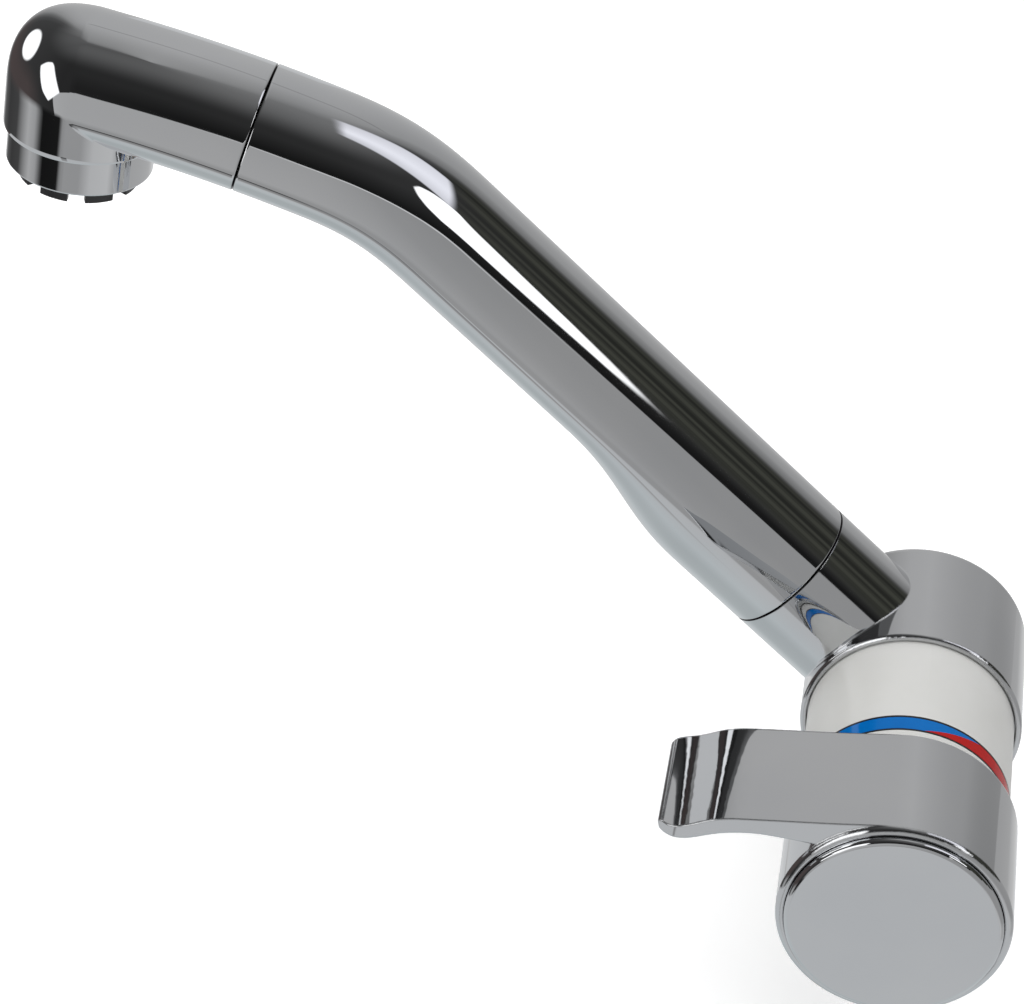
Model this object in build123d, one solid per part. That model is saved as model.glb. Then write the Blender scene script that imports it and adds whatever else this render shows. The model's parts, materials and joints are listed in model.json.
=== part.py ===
from build123d import *
import math
import os

os.makedirs("parts", exist_ok=True)

# Kitchen tap with a horizontal control barrel. Millimetres, +Z up, -Y towards the user, +X towards the
# control end of the barrel. The origin is the centre of the base on the worktop.

# ---- driving dimensions: barrel ----
BARREL_H = 37.0            # barrel axis above the worktop
BARREL_X = 15.7            # front rim of the rear body, from the base axis
BARREL_R = 21.0
BODY_LEN = 30.3            # rear body, behind its front rim
RING_R_REAR = 19.6         # indicator ring at the body rim
RING_R_FRONT = 19.35       # indicator ring under the handle skirt
RING_BORE = 17.25
HANDLE_X0 = 30.3           # handle skirt, from the body rim
HANDLE_X1 = 57.7           # handle front face
HANDLE_EDGE = 1.05         # rounding of the handle's front edge
SKIRT_BORE = 19.75
CAP_R = 19.4
CAP_X1 = 59.05             # the end cap stands proud of the handle
CAP_EDGE = 1.0
BAND_X0, BAND_X1 = 23.1, 26.5
BAND_R_IN, BAND_R_OUT = 19.05, 19.42
# ---- lever blade: side profile in (y, z), z measured from the barrel axis ----
BLADE_X0, BLADE_X1 = 30.5, 56.7
BLADE_TOP = [(-4.1, 20.6), (-13.0, 18.6), (-22.0, 16.75), (-29.0, 15.3), (-33.0, 14.35), (-35.6, 13.3),
             (-38.0, 11.9), (-40.2, 10.75), (-42.4, 10.15), (-43.4, 10.05)]
BLADE_END = [(-44.1, 9.75), (-44.4, 9.1), (-44.1, 8.45)]
BLADE_BOTTOM = [(-43.2, 8.05), (-40.5, 7.95), (-38.2, 8.55), (-35.8, 9.75), (-33.2, 10.95), (-29.5, 12.05),
                (-25.5, 12.65), (-21.5, 12.8), (-16.6, 12.85)]
BLADE_CORNER = 4.3
# ---- spout, in the plane x = 0. Its section is a half circle above and a flatter half ellipse below ----
SEAM_Y, SEAM_Z = -28.95, 20.10         # centre of the seam between root and arm, z from the barrel axis
SEAM_R = 14.02
ARM_DIR, HEAD_DIR, END_DIR = 144.48, 169.0, 174.8      # direction of the centre line, from +Y towards +Z
BEND_S, BEND_W = 90.1, 34.9            # start and length of the bend, along the centre line from the seam
SPOUT_S = 158.5
SPOUT_R, SPOUT_R_S = 14.4, 120.5       # upper radius at the head
SPOUT_LOW = 7.77                       # lower half axis of the section
NECK_S, NECK_W = 15.7, 39.0            # where the round root section flattens below
HEAD_S, END_S = 132.3, 163.6
ARM_WALL = 2.0
OUTLET_Y = -172.2
STUB_R, STUB_TOP, STUB_BOTTOM, STUB_ROUND = 14.4, 105.6, 82.95, 10.6
COLLAR_R, COLLAR_Z0 = 13.45, 75.9
# ---- base ----
BASE_R, BASE_TOP = 19.5, 8.5
GASKET_T = 1.2
SPIGOT_R, SPIGOT_DROP = 16.4, 6.0
SHANK_R, SHANK_BORE, SHANK_Z0, SHANK_Z1 = 14.0, 10.56, -45.0, 4.0
JOURNAL_R, JOURNAL_BORE, JOURNAL_Z0 = 10.5, 8.7, -49.0
FLANGE_R, FLANGE_Z0, FLANGE_Z1 = 14.8, 5.1, 8.4
STUB_IN_R, STUB_IN_TOP = 12.0, 19.6
NECK_R_TOP, NECK_R_BOTTOM, NECK_Z0 = 14.25, 17.6, 9.6
SWIVEL_LIMIT = 60.0
CLAMP_GAP = 27.0
TAIL_R, TAIL_BORE, TAIL_Y, TAIL_SPLAY, TAIL_Z0 = 4.0, 3.0, 4.3, 12.0, -95.0
# ---- cartridge, along the barrel from the body rim ----
CART_BORE, CART_FLOOR = 15.0, -9.5
SEAT_R = 17.2              # sleeve that holds the cartridge and carries the indicator ring
LEVER_TURN = 100.0

CEN, LOW = Align.CENTER, Align.MIN


def cylx(r, x0, x1, y=0.0, z=0.0):
    """Cylinder along the barrel; x from the body rim, y and z from the barrel axis."""
    return Pos(BARREL_X + x0, y, BARREL_H + z) * Rot(0, 90, 0) * Cylinder(r, x1 - x0, align=(CEN, CEN, LOW))


def tubex(ro, ri, x0, x1):
    return cylx(ro, x0, x1) - cylx(ri, x0 - 1, x1 + 1)


def cylz(r, z0, z1, x=0.0, y=0.0):
    return Pos(x, y, z0) * Cylinder(r, z1 - z0, align=(CEN, CEN, LOW))


def tubez(ro, ri, z0, z1, x=0.0, y=0.0):
    return cylz(ro, z0, z1, x, y) - cylz(ri, z0 - 1, z1 + 1, x, y)


def sector_x(a0, a1, x0, x1, r=60.0):
    """Wedge round the barrel axis between two angles from +Y towards +Z, in degrees."""
    steps = max(2, int(math.ceil((a1 - a0) / 40.0)) + 1)
    rim = [(r * math.cos(math.radians(a0 + (a1 - a0) * i / (steps - 1))),
            r * math.sin(math.radians(a0 + (a1 - a0) * i / (steps - 1)))) for i in range(steps)]
    base = Plane(origin=(BARREL_X + x0, 0, BARREL_H), x_dir=(0, 1, 0), z_dir=(1, 0, 0))
    return extrude(base * make_face(Polyline((0, 0), *rim, close=True)), amount=x1 - x0)


def sector_z(a0, a1, z0, z1, r=60.0):
    steps = max(2, int(math.ceil((a1 - a0) / 40.0)) + 1)
    rim = [(r * math.cos(math.radians(a0 + (a1 - a0) * i / (steps - 1))),
            r * math.sin(math.radians(a0 + (a1 - a0) * i / (steps - 1)))) for i in range(steps)]
    return extrude(Plane(origin=(0, 0, z0)) * make_face(Polyline((0, 0), *rim, close=True)), amount=z1 - z0)


def revolve_x(points):
    """Solid turned about the barrel axis from (x, r) points."""
    face = make_face(Polyline(*[(BARREL_X + x, 0, BARREL_H + r) for x, r in points], close=True))
    return revolve(face, axis=Axis((0, 0, BARREL_H), (1, 0, 0)), revolution_arc=360)


def revolve_z(points, x=0.0, y=0.0):
    """Solid turned about a vertical axis from (r, z) points."""
    face = make_face(Polyline(*[(x + r, y, z) for r, z in points], close=True))
    return revolve(face, axis=Axis((x, y, 0), (0, 0, 1)), revolution_arc=360)


def ring_x(major, minor, x):
    return Pos(BARREL_X + x, 0, BARREL_H) * Rot(0, 90, 0) * Torus(major, minor)


def arc_points(cx, cy, r, a0, a1, n=6):
    return [(cx + r * math.cos(math.radians(a0 + (a1 - a0) * i / n)),
             cy + r * math.sin(math.radians(a0 + (a1 - a0) * i / n))) for i in range(n + 1)]


def write(name, shape):
    if isinstance(shape, list):
        shape = Compound(children=shape)
    export_step(shape, "parts/" + name + ".step")


# ================= spout centre line =================
def smooth(u):
    u = min(1.0, max(0.0, u))
    return u * u * u * (u * (6 * u - 15) + 10)


def spout_dir(s):
    a = ARM_DIR + (HEAD_DIR - ARM_DIR) * smooth((s - BEND_S) / BEND_W)
    return a + (END_DIR - HEAD_DIR) * min(1.0, max(0.0, (s - BEND_S - BEND_W) / (SPOUT_S - BEND_S - BEND_W)))


STEP = 0.25
walk = [(SEAM_Y, BARREL_H + SEAM_Z)]
for i in range(int(170 / STEP)):
    a = math.radians(spout_dir((i + 0.5) * STEP))
    walk.append((walk[-1][0] + STEP * math.cos(a), walk[-1][1] + STEP * math.sin(a)))


def spout_point(s, up=0.0):
    """Point at s along the centre line from the seam and up above it, as (y, z) in the row frame."""
    a = math.radians(spout_dir(s))
    if s <= 0:
        y, z = walk[0][0] + s * math.cos(a), walk[0][1] + s * math.sin(a)
    else:
        k = min(int(s / STEP), len(walk) - 2)
        u = s / STEP - k
        y = walk[k][0] * (1 - u) + walk[k + 1][0] * u
        z = walk[k][1] * (1 - u) + walk[k + 1][1] * u
    return (y + up * math.sin(a), z - up * math.cos(a))


def spout_up(s):
    return SEAM_R + (SPOUT_R - SEAM_R) * min(1.0, max(0.0, s / SPOUT_R_S))


def spout_low(s):
    return SEAM_R + (SPOUT_LOW - SEAM_R) * smooth((s - NECK_S) / NECK_W)


def yz_plane(p, angle):
    """Plane across the spout at p, normal to a direction in the plane x = 0."""
    return Plane(origin=(0, p[0], p[1]), x_dir=(1, 0, 0),
                 z_dir=(0, math.cos(math.radians(angle)), math.sin(math.radians(angle))))


def section(s, r, low):
    """Spout section: half circle of radius r above the centre line, half ellipse of half axis low below."""
    upper = ThreePointArc((r, 0), (0, r), (-r, 0))
    lower = EllipticalCenterArc((0, 0), r, low, 180, arc_size=180)
    return yz_plane(spout_point(s), spout_dir(s)) * make_face([upper, lower])


def spout_loft(stations, wall=0.0, floor=0.0):
    return loft([section(s, spout_up(s) - wall, min(spout_low(s) - floor, spout_up(s) - wall)) for s in stations])


def rod(p, angle, r, s0, s1):
    d = (math.cos(math.radians(angle)), math.sin(math.radians(angle)))
    q = (p[0] + s0 * d[0], p[1] + s0 * d[1])
    return yz_plane(q, angle).location * Cylinder(r, s1 - s0, align=(CEN, CEN, LOW))


def span(s0, s1, step):
    n = max(2, int(math.ceil((s1 - s0) / step)) + 1)
    return [s0 + (s1 - s0) * i / (n - 1) for i in range(n)]


seam = (SEAM_Y, BARREL_H + SEAM_Z)
ROOT_ANGLE = ARM_DIR
d_root = (math.cos(math.radians(ARM_DIR)), math.sin(math.radians(ARM_DIR)))

# ================= spout arm =================
arm_bore = spout_loft([12.9] + span(15.0, 60.0, 5.0) + span(68.0, HEAD_S + 0.5, 6.5), ARM_WALL, 1.8)
spout_arm = spout_loft([0.0, 8.0] + span(15.0, 60.0, 4.5) + span(68.0, HEAD_S, 6.0)) - arm_bore
spout_arm -= rod(seam, ROOT_ANGLE, 11.0, -1, 13.0)
write("spout_arm", spout_arm)

# ================= spout head =================
outlet_z = spout_point(END_S)[1]
stub = cylz(STUB_R, BARREL_H + STUB_BOTTOM, BARREL_H + STUB_TOP, 0, OUTLET_Y)
stub = fillet(stub.edges().filter_by(GeomType.CIRCLE).sort_by(Axis.Z)[-1], STUB_ROUND)
cr = SPOUT_R + 0.05
crown_lines = [Line((-cr, 0), (-cr, -40)), Line((-cr, -40), (cr, -40)), Line((cr, -40), (cr, 0)),
               ThreePointArc((cr, 0), (0, cr), (-cr, 0))]
crown_plane = Plane(origin=(0, OUTLET_Y + 3.0, outlet_z), x_dir=(1, 0, 0), z_dir=(0, -1, 0))
crown = extrude(crown_plane * make_face(crown_lines), 24.0)
stub &= crown
head_outer = spout_loft(span(HEAD_S, END_S, 5.2)) + stub
head_cut = spout_loft([HEAD_S - 0.6, HEAD_S + 6.0, HEAD_S + 12.0], ARM_WALL, 1.8)
WATER_S, WATER_UP = HEAD_S + 15.0, 1.2
w3 = spout_point(WATER_S, WATER_UP)
water_end = spout_dir(WATER_S)
head_cut += rod(w3, water_end, 4.65, -6.0, 0.1) + rod(w3, water_end, 3.8, 0, 14.0)
head_cut += cylz(COLLAR_R + 0.3, BARREL_H + STUB_BOTTOM - 8, BARREL_H + STUB_BOTTOM, 0, OUTLET_Y)
head_cut += cylz(12.0, BARREL_H + STUB_BOTTOM - 1, BARREL_H + 90.2, 0, OUTLET_Y)
head_cut += cylz(10.0, BARREL_H + 90.0, BARREL_H + 98.6, 0, OUTLET_Y)
spout_head = head_outer - head_cut
print("head", spout_head.bounding_box(), round(spout_head.volume), len(spout_head.solids()))
write("spout_head", spout_head)

# ================= aerator =================
z0 = BARREL_H + COLLAR_Z0
collar = cylz(COLLAR_R, z0, z0 + 7.0, 0, OUTLET_Y)
collar = fillet(collar.edges().filter_by(GeomType.CIRCLE), 0.4)
collar += cylz(11.9, z0 + 6.9, z0 + 12.6, 0, OUTLET_Y)
collar -= cylz(11.1, z0 - 1, z0 + 7.2, 0, OUTLET_Y)
collar -= cylz(10.3, z0, z0 + 14, 0, OUTLET_Y)
write("aerator_collar", collar)
insert = tubez(11.05, 9.5, z0 - 2.8, z0 + 7.1, 0, OUTLET_Y)
insert += cylz(9.6, z0 + 0.4, z0 + 2.2, 0, OUTLET_Y)
insert += tubez(1.6, 0.6, z0 - 0.2, z0 + 2.2, 0, OUTLET_Y)
for i in range(8):
    a = 45.0 * i + 3.2
    insert -= Pos(0, OUTLET_Y, 0) * sector_z(a, a + 17.0, z0 - 4, z0 - 0.1, 14.0)
holes = []
for k, n in ((1, 6), (2, 12), (3, 18)):
    for i in range(n):
        a = 2 * math.pi * (i + 0.5 * (k % 2)) / n
        holes.append(cylz(0.75, z0 - 1, z0 + 3, 2.62 * k * math.cos(a), OUTLET_Y + 2.62 * k * math.sin(a)))
for h in holes:
    insert -= h
write("aerator_insert", insert)
screen = tubez(9.45, 8.3, z0 + 2.6, z0 + 4.6, 0, OUTLET_Y)
for k in (-6.0, -3.6, -1.2, 1.2, 3.6, 6.0):
    half = math.sqrt(8.6 ** 2 - (abs(k) + 0.3) ** 2)
    screen += Pos(k, OUTLET_Y, z0 + 3.3) * Box(0.6, 2 * half, 0.6)
    screen += Pos(0, OUTLET_Y + k, z0 + 3.9) * Box(2 * half, 0.6, 0.6)
write("aerator_screen", screen)
write("aerator_washer", tubez(11.8, 8.8, z0 + 12.7, z0 + 14.2, 0, OUTLET_Y))

# ================= rear body =================
X0 = -BODY_LEN
barrel = cylx(BARREL_R, X0, 0)
rims = barrel.edges().filter_by(GeomType.CIRCLE).sort_by(Axis.X)
barrel = fillet(rims[0], 2.0)
barrel = fillet(barrel.edges().filter_by(GeomType.CIRCLE).sort_by(Axis.X)[-1], 0.7)
flare = arc_points(NECK_R_BOTTOM, NECK_Z0 + 1.6 + 3.35, NECK_R_BOTTOM - NECK_R_TOP, 270, 180, 8)
neck = revolve_z([(0, NECK_Z0), (NECK_R_BOTTOM - 0.4, NECK_Z0), (NECK_R_BOTTOM, NECK_Z0 + 0.4), *flare,
                  (NECK_R_TOP, BARREL_H), (0, BARREL_H)])
root = rod(seam, ROOT_ANGLE, SEAM_R, -36.0, 0)
rear_body = barrel + neck + root
rear_body -= cylx(19.9, -2.6, 1)
rear_body -= cylx(SEAT_R + 0.02, -8.05, 0)
rear_body -= cylx(CART_BORE, CART_FLOOR, 20)
rear_body -= cylz(STUB_IN_R, NECK_Z0 - 1, STUB_IN_TOP + 0.02)
rear_body -= rod(seam, ROOT_ANGLE, 11.0, -14.0, 1)
rear_body -= rod(seam, ROOT_ANGLE, 5.0, -38.0, 0)
port_out = (0.0, 7.6)
rear_body -= cylx(3.2, -16.5, CART_FLOOR + 1, 0.0, 7.6)
for side in (-1, 1):
    rear_body -= cylz(3.0, STUB_IN_TOP - 1, BARREL_H - 5.0, 0, side * 6.2)
    rear_body -= cylx(2.6, -16.0, CART_FLOOR + 1, side * 6.2, -6.2)
write("rear_body", rear_body)
write("cartridge_seat", tubex(SEAT_R, CART_BORE, -8.0, 14.0))

# ================= spout joint pieces =================
sleeve = rod(seam, ROOT_ANGLE, 10.95, -13.0, 12.5) - rod(seam, ROOT_ANGLE, 5.4, -14.0, 14)
for s in (4.0, 8.5):
    sleeve -= rod(seam, ROOT_ANGLE, 10.95 + 1, s - 0.95, s + 0.95) - rod(seam, ROOT_ANGLE, 9.3, s - 2, s + 2)
write("root_sleeve", sleeve)
rings = []
for s in (4.0, 8.5):
    p = (seam[0] + s * d_root[0], seam[1] + s * d_root[1])
    rings.append(yz_plane(p, ROOT_ANGLE).location * Torus(10.12, 0.8))
write("root_sleeve_o_rings", rings)
sleeve_at = span(HEAD_S - 10.0, HEAD_S + 10.0, 5.0)
write("head_sleeve", spout_loft(sleeve_at, ARM_WALL + 0.05, 1.85) - spout_loft(
    span(HEAD_S - 11.0, HEAD_S + 11.0, 5.5), ARM_WALL + 1.6, 3.2))
run = [spout_point(-12.0), spout_point(-4.0), spout_point(6.0), spout_point(16.0, 0.02)]
run += [spout_point(s, WATER_UP * smooth((s - 16.0) / 40.0)) for s in (28.0, 42.0, 58.0, 74.0, 88.0, 98.0, 108.0, 118.0, 128.0,
                                                                       138.0)] + [w3]
wpath = Spline(*[(0, y, z) for y, z in run],
               tangents=[(0, *d_root), (0, math.cos(math.radians(water_end)), math.sin(math.radians(water_end)))])
mouth = yz_plane(run[0], ROOT_ANGLE)
water = sweep(mouth * Circle(4.6), path=wpath) - sweep(mouth * Circle(3.6), path=wpath)
write("water_tube", water)
print("water tube volume share", round(water.volume / (math.pi * (4.6 ** 2 - 3.6 ** 2) * wpath.length), 4))

# ================= indicator ring and bands =================
ring = revolve_x([(-2.4, RING_BORE), (-2.4, RING_R_REAR - 0.2), (-2.2, RING_R_REAR), (0, RING_R_REAR),
                  (BAND_X0, BAND_R_OUT), (BAND_X0, BAND_R_IN), (BAND_X1, BAND_R_IN), (BAND_X1, BAND_R_OUT),
                  (30.0, RING_R_FRONT), (35.9, RING_R_FRONT), (36.3, RING_R_FRONT - 0.4), (36.3, RING_BORE)])
write("indicator_ring", ring)
band = tubex(BAND_R_OUT, BAND_R_IN, BAND_X0, BAND_X1)
# blue and red meet along a slanted line: at the front edge near 91 degrees, at the rear edge near 57
plane_low, plane_high = 57.0, 91.0
steps = 9


def slanted(a_far, sign):
    """Prism over the unrolled band, wrapped round as thin wedges."""
    pieces = None
    for i in range(steps):
        x0 = BAND_X0 + (BAND_X1 - BAND_X0) * i / steps
        x1 = BAND_X0 + (BAND_X1 - BAND_X0) * (i + 1) / steps
        split = plane_low + (plane_high - plane_low) * (i + 0.5) / steps
        a0, a1 = (split, a_far) if sign > 0 else (a_far, split)
        wedge = sector_x(a0, a1, x0, x1)
        pieces = wedge if pieces is None else pieces + wedge
    return pieces


write("blue_band", band & slanted(218.0, 1))
write("red_band", band & slanted(-62.0, -1))

# ================= cartridge =================
seal = cylx(14.6, CART_FLOOR, -8.3)
for y, z, r in ((0, 7.6, 3.2), (-6.2, -6.2, 2.6), (6.2, -6.2, 2.6)):
    seal -= cylx(r, CART_FLOOR - 1, -7, y, z)
write("cartridge_seal", seal)
housing = cylx(14.8, -8.3, 7.5) + cylx(8.2, 7.0, 17.0)
housing -= cylx(12.5, -9.0, -0.2)
housing -= cylx(10.3, -1.0, 4.5)
housing -= (cylx(12.5, -1.0, 4.5) & sector_x(-167.0, -13.0, -2.0, 5.0))
housing -= cylx(5.06, 3.0, 18.0)
write("cartridge_housing", housing)
fixed = cylx(12.45, -8.28, -4.3)
for y, z, r in ((0, 7.6, 3.0), (-6.2, -6.2, 2.5), (6.2, -6.2, 2.5)):
    fixed -= cylx(r, -9, -4, y, z)
write("fixed_disc", fixed)
moving = cylx(12.1, -4.27, -0.8)
moving -= (tubex(10.6, 4.6, -5.0, -2.4) & sector_x(110.0, 250.0, -6.0, -2.0))
write("moving_disc", moving)
carrier = cylx(10.0, -0.8, 3.9) + (cylx(12.2, -0.15, 3.9) & sector_x(-65.0, -15.0, -2.0, 5.0))
carrier -= cylx(5.0, 1.5, 5.0)
write("disc_carrier", carrier)
spindle = cylx(4.99, 1.5, 24.0)
spline = Plane(origin=(BARREL_X + 24.0, 0, BARREL_H), x_dir=(0, 1, 0), z_dir=(1, 0, 0)) * RegularPolygon(4.9, 12)
spindle += extrude(spline, amount=13.0)
spindle -= cylx(2.5, 27.0, 38.0)
for x in (10.5, 13.6):
    spindle -= tubex(7.0, 3.9, x - 0.75, x + 0.75)
write("spindle", spindle)
write("spindle_o_rings", [ring_x(4.45, 0.54, 10.5), ring_x(4.45, 0.54, 13.6)])
write("thrust_washer", tubex(9.4, 5.35, 3.95, 4.45))
nut = tubex(14.95, 8.5, 7.6, 14.0) + tubex(16.8, 8.5, 14.05, 16.5)
hexagon = Plane(origin=(BARREL_X + 16.4, 0, BARREL_H), x_dir=(0, 1, 0), z_dir=(1, 0, 0)) * RegularPolygon(14.5, 6)
nut += extrude(hexagon, amount=4.0) - cylx(8.5, 15, 22)
nut += tubex(14.9, 8.5, 13.9, 14.2)
write("cartridge_nut", nut)

# ================= lever handle =================
side = Plane(origin=(BARREL_X + BLADE_X0, 0, BARREL_H), x_dir=(0, 1, 0), z_dir=(1, 0, 0))
join_top = (-4.1, math.sqrt(BARREL_R ** 2 - 4.1 ** 2))
join_low = (-16.6, math.sqrt(BARREL_R ** 2 - 16.6 ** 2))
top_line = Spline(join_top, *BLADE_TOP[1:], tangents=[(-join_top[1], join_top[0]), (-1.0, -0.12)])
end_line = Spline(BLADE_TOP[-1], *BLADE_END, BLADE_BOTTOM[0], tangents=[(-1.0, -0.12), (1.0, -0.1)])
low_line = Spline(*BLADE_BOTTOM[:-1], join_low, tangents=[(1.0, -0.1), (1.0, 0.0)])
round_line = ThreePointArc(join_top, (BARREL_R * math.cos(math.radians(-45)), BARREL_R * math.sin(math.radians(-45))),
                           join_low)
profile = make_face([top_line, end_line, low_line, round_line])
blade = extrude(side * profile, amount=BLADE_X1 - BLADE_X0)
# plan outline with round corners at the tip
plan = Plane(origin=(0, 0, BARREL_H - 30)) * (
    Pos(BARREL_X + (BLADE_X0 + BLADE_X1) / 2, -10.0) * RectangleRounded(BLADE_X1 - BLADE_X0, 70.0, BLADE_CORNER))
plan += Plane(origin=(0, 0, BARREL_H - 30)) * (
    Pos(BARREL_X + (BLADE_X0 + BLADE_X1) / 2, 0.0) * Rectangle(BLADE_X1 - BLADE_X0, 60.0))
blade &= extrude(plan, amount=60)
e = HANDLE_EDGE
skin = revolve_x([(HANDLE_X0, 0), (HANDLE_X0, BARREL_R - 0.25), (BLADE_X0, BARREL_R), (BLADE_X0 + 0.1, BARREL_R),
                  (BLADE_X0 + 0.1, 0)])
skin += revolve_x([(BLADE_X1 - 0.1, 0), (BLADE_X1 - 0.1, BARREL_R)]
                  + arc_points(HANDLE_X1 - e, BARREL_R - e, e, 90, 0, 8) + [(HANDLE_X1, 0)])
handle = skin + blade
handle -= cylx(SKIRT_BORE, HANDLE_X0 - 1, 36.9)
handle -= cylx(18.0, 41.0, 60.0)
handle -= cylx(CAP_R + 0.15, 52.5, 60.0)
handle += cylx(9.0, 22.0, 37.5)
hub_bore = Plane(origin=(BARREL_X + 21.0, 0, BARREL_H), x_dir=(0, 1, 0), z_dir=(1, 0, 0)) * RegularPolygon(4.94, 12)
handle -= extrude(hub_bore, amount=16.1)
handle -= cylx(5.1, 21.0, 24.2)
handle -= cylx(2.7, 30.0, 45.0)
write("lever_handle", handle)
screw = cylx(4.4, 41.02, 44.6) + cylx(2.48, 28.5, 41.1)
key = Plane(origin=(BARREL_X + 42.2, 0, BARREL_H), x_dir=(0, 1, 0), z_dir=(1, 0, 0)) * RegularPolygon(2.3, 6)
screw -= extrude(key, amount=4)
write("handle_screw", screw)
cap = revolve_x([(46.0, 16.4), (46.0, 17.8), (46.6, 17.97), (48.0, 17.97), (48.6, 17.7), (52.6, 17.7), (52.6, CAP_R),
                 *arc_points(CAP_X1 - CAP_EDGE, CAP_R - CAP_EDGE, CAP_EDGE, 90, 0, 12), (CAP_X1, 0), (57.0, 0), (57.0, 16.4)])
write("end_cap", cap)

# ================= base =================
write("base_gasket", tubez(19.1, SPIGOT_R + 0.05, 0, GASKET_T))
base = cylz(BASE_R, GASKET_T, BASE_TOP)
base = fillet(base.edges().filter_by(GeomType.CIRCLE).sort_by(Axis.Z)[-1], 1.4)
base = fillet(base.edges().filter_by(GeomType.CIRCLE).sort_by(Axis.Z)[0], 0.4)
base += cylz(SPIGOT_R, -SPIGOT_DROP, GASKET_T + 0.1)
base -= cylz(SHANK_R, -SPIGOT_DROP - 1, SHANK_Z1)
base -= cylz(10.95, 3, 6)
base -= cylz(15.1, 5.0, 10)
stop_z = 6.75
base -= Pos(0, 13, stop_z) * Rot(-90, 0, 0) * Cylinder(1.52, 8, align=(CEN, CEN, LOW))
write("base_ring", base)
pin = Pos(0, 13.3, stop_z) * Rot(-90, 0, 0) * Cylinder(1.5, 5.9, align=(CEN, CEN, LOW))
socket = Plane(origin=(0, 17.6, stop_z), x_dir=(1, 0, 0), z_dir=(0, 1, 0)) * RegularPolygon(0.85, 6)
write("swivel_stop_screw", pin - extrude(socket, amount=3))
write("swivel_slip_ring", tubez(17.6, 12.3, BASE_TOP + 0.02, 9.55))
shank = tubez(SHANK_R - 0.02, SHANK_BORE, SHANK_Z0, SHANK_Z1 - 0.02)
write("shank", shank)
write("backing_gasket", tubez(22.0, SHANK_R + 0.3, -CLAMP_GAP - 3.0, -CLAMP_GAP))
write("backing_washer", tubez(22.0, SHANK_R + 0.3, -CLAMP_GAP - 4.6, -CLAMP_GAP - 3.02))
nut_z0 = -CLAMP_GAP - 4.65 - 8.0
hexnut = Plane(origin=(0, 0, nut_z0)) * RegularPolygon(20.6, 6)
hexnut = extrude(hexnut, amount=8.0) & revolve_z([(0, nut_z0), (18.4, nut_z0), (20.9, nut_z0 + 1.2),
                                                  (20.9, nut_z0 + 8), (0, nut_z0 + 8)])
write("fixing_nut", hexnut - cylz(SHANK_R, nut_z0 - 1, nut_z0 + 9))

# ================= swivel journal =================
journal = cylz(JOURNAL_R, JOURNAL_Z0, FLANGE_Z0 + 0.1) + cylz(FLANGE_R, FLANGE_Z0, FLANGE_Z1)
journal += cylz(STUB_IN_R - 0.02, FLANGE_Z1 - 0.1, STUB_IN_TOP)
journal -= cylz(JOURNAL_BORE, JOURNAL_Z0 - 1, 9.0)
half = SWIVEL_LIMIT + math.degrees(math.asin(1.5 / 13.3)) + 1.2
journal -= sector_z(90 - half, 90 + half, 3.0, FLANGE_Z1 - 0.15, 20.0) - cylz(12.8, 2, 12)
for s in (-1, 1):
    journal -= cylz(TAIL_R, 8.0, 20.5, 0, s * TAIL_Y)
for z in (-5.0, -38.0):
    journal -= tubez(JOURNAL_R + 1, 9.55, z - 0.6, z + 0.6)
journal -= tubez(JOURNAL_R + 1, 9.7, -47.1, -45.98)
write("swivel_journal", journal)
write("swivel_o_rings", [Pos(0, 0, z) * Torus(10.04, 0.45) for z in (-5.0, -38.0)])
write("journal_washer", tubez(13.6, JOURNAL_R + 0.1, -45.95, -45.12))
clip = tubez(12.6, 9.75, -47.05, -46.0) - sector_z(-105, -75, -48, -45, 20.0)
write("journal_circlip", clip)

# ================= inlet tails =================
for name, s in (("inlet_tail_cold", 1), ("inlet_tail_hot", -1)):
    tail_path = FilletPolyline((0, s * TAIL_Y, 19.2), (0, s * TAIL_Y, -54.0), (0, s * TAIL_SPLAY, -67.0),
                               (0, s * TAIL_SPLAY, TAIL_Z0), radius=[12.0, 12.0])
    top = Plane(origin=(0, s * TAIL_Y, 19.2), x_dir=(1, 0, 0), z_dir=(0, 0, -1))
    tail = sweep(top * Circle(TAIL_R - 0.02), path=tail_path) - sweep(top * Circle(TAIL_BORE), path=tail_path)
    write(name, tail)
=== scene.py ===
import json
import math

import bpy
import bmesh
import numpy as np
from mathutils import Matrix, Vector


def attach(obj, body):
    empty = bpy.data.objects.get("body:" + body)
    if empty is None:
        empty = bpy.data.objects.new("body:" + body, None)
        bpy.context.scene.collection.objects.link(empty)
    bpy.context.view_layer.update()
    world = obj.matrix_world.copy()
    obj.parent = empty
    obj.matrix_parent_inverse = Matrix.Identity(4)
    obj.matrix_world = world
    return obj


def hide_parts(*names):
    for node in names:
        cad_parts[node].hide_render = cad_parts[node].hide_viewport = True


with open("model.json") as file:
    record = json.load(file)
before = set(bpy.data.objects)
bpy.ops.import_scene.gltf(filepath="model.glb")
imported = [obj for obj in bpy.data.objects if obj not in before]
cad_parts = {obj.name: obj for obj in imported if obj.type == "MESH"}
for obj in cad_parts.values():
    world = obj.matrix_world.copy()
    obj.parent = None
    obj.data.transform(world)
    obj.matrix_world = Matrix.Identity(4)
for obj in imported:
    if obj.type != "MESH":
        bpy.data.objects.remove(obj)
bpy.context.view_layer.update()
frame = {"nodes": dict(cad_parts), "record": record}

scene = bpy.context.scene
scene.view_settings.view_transform = "Standard"
scene.view_settings.look = "None"
nodes = frame["nodes"]

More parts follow.
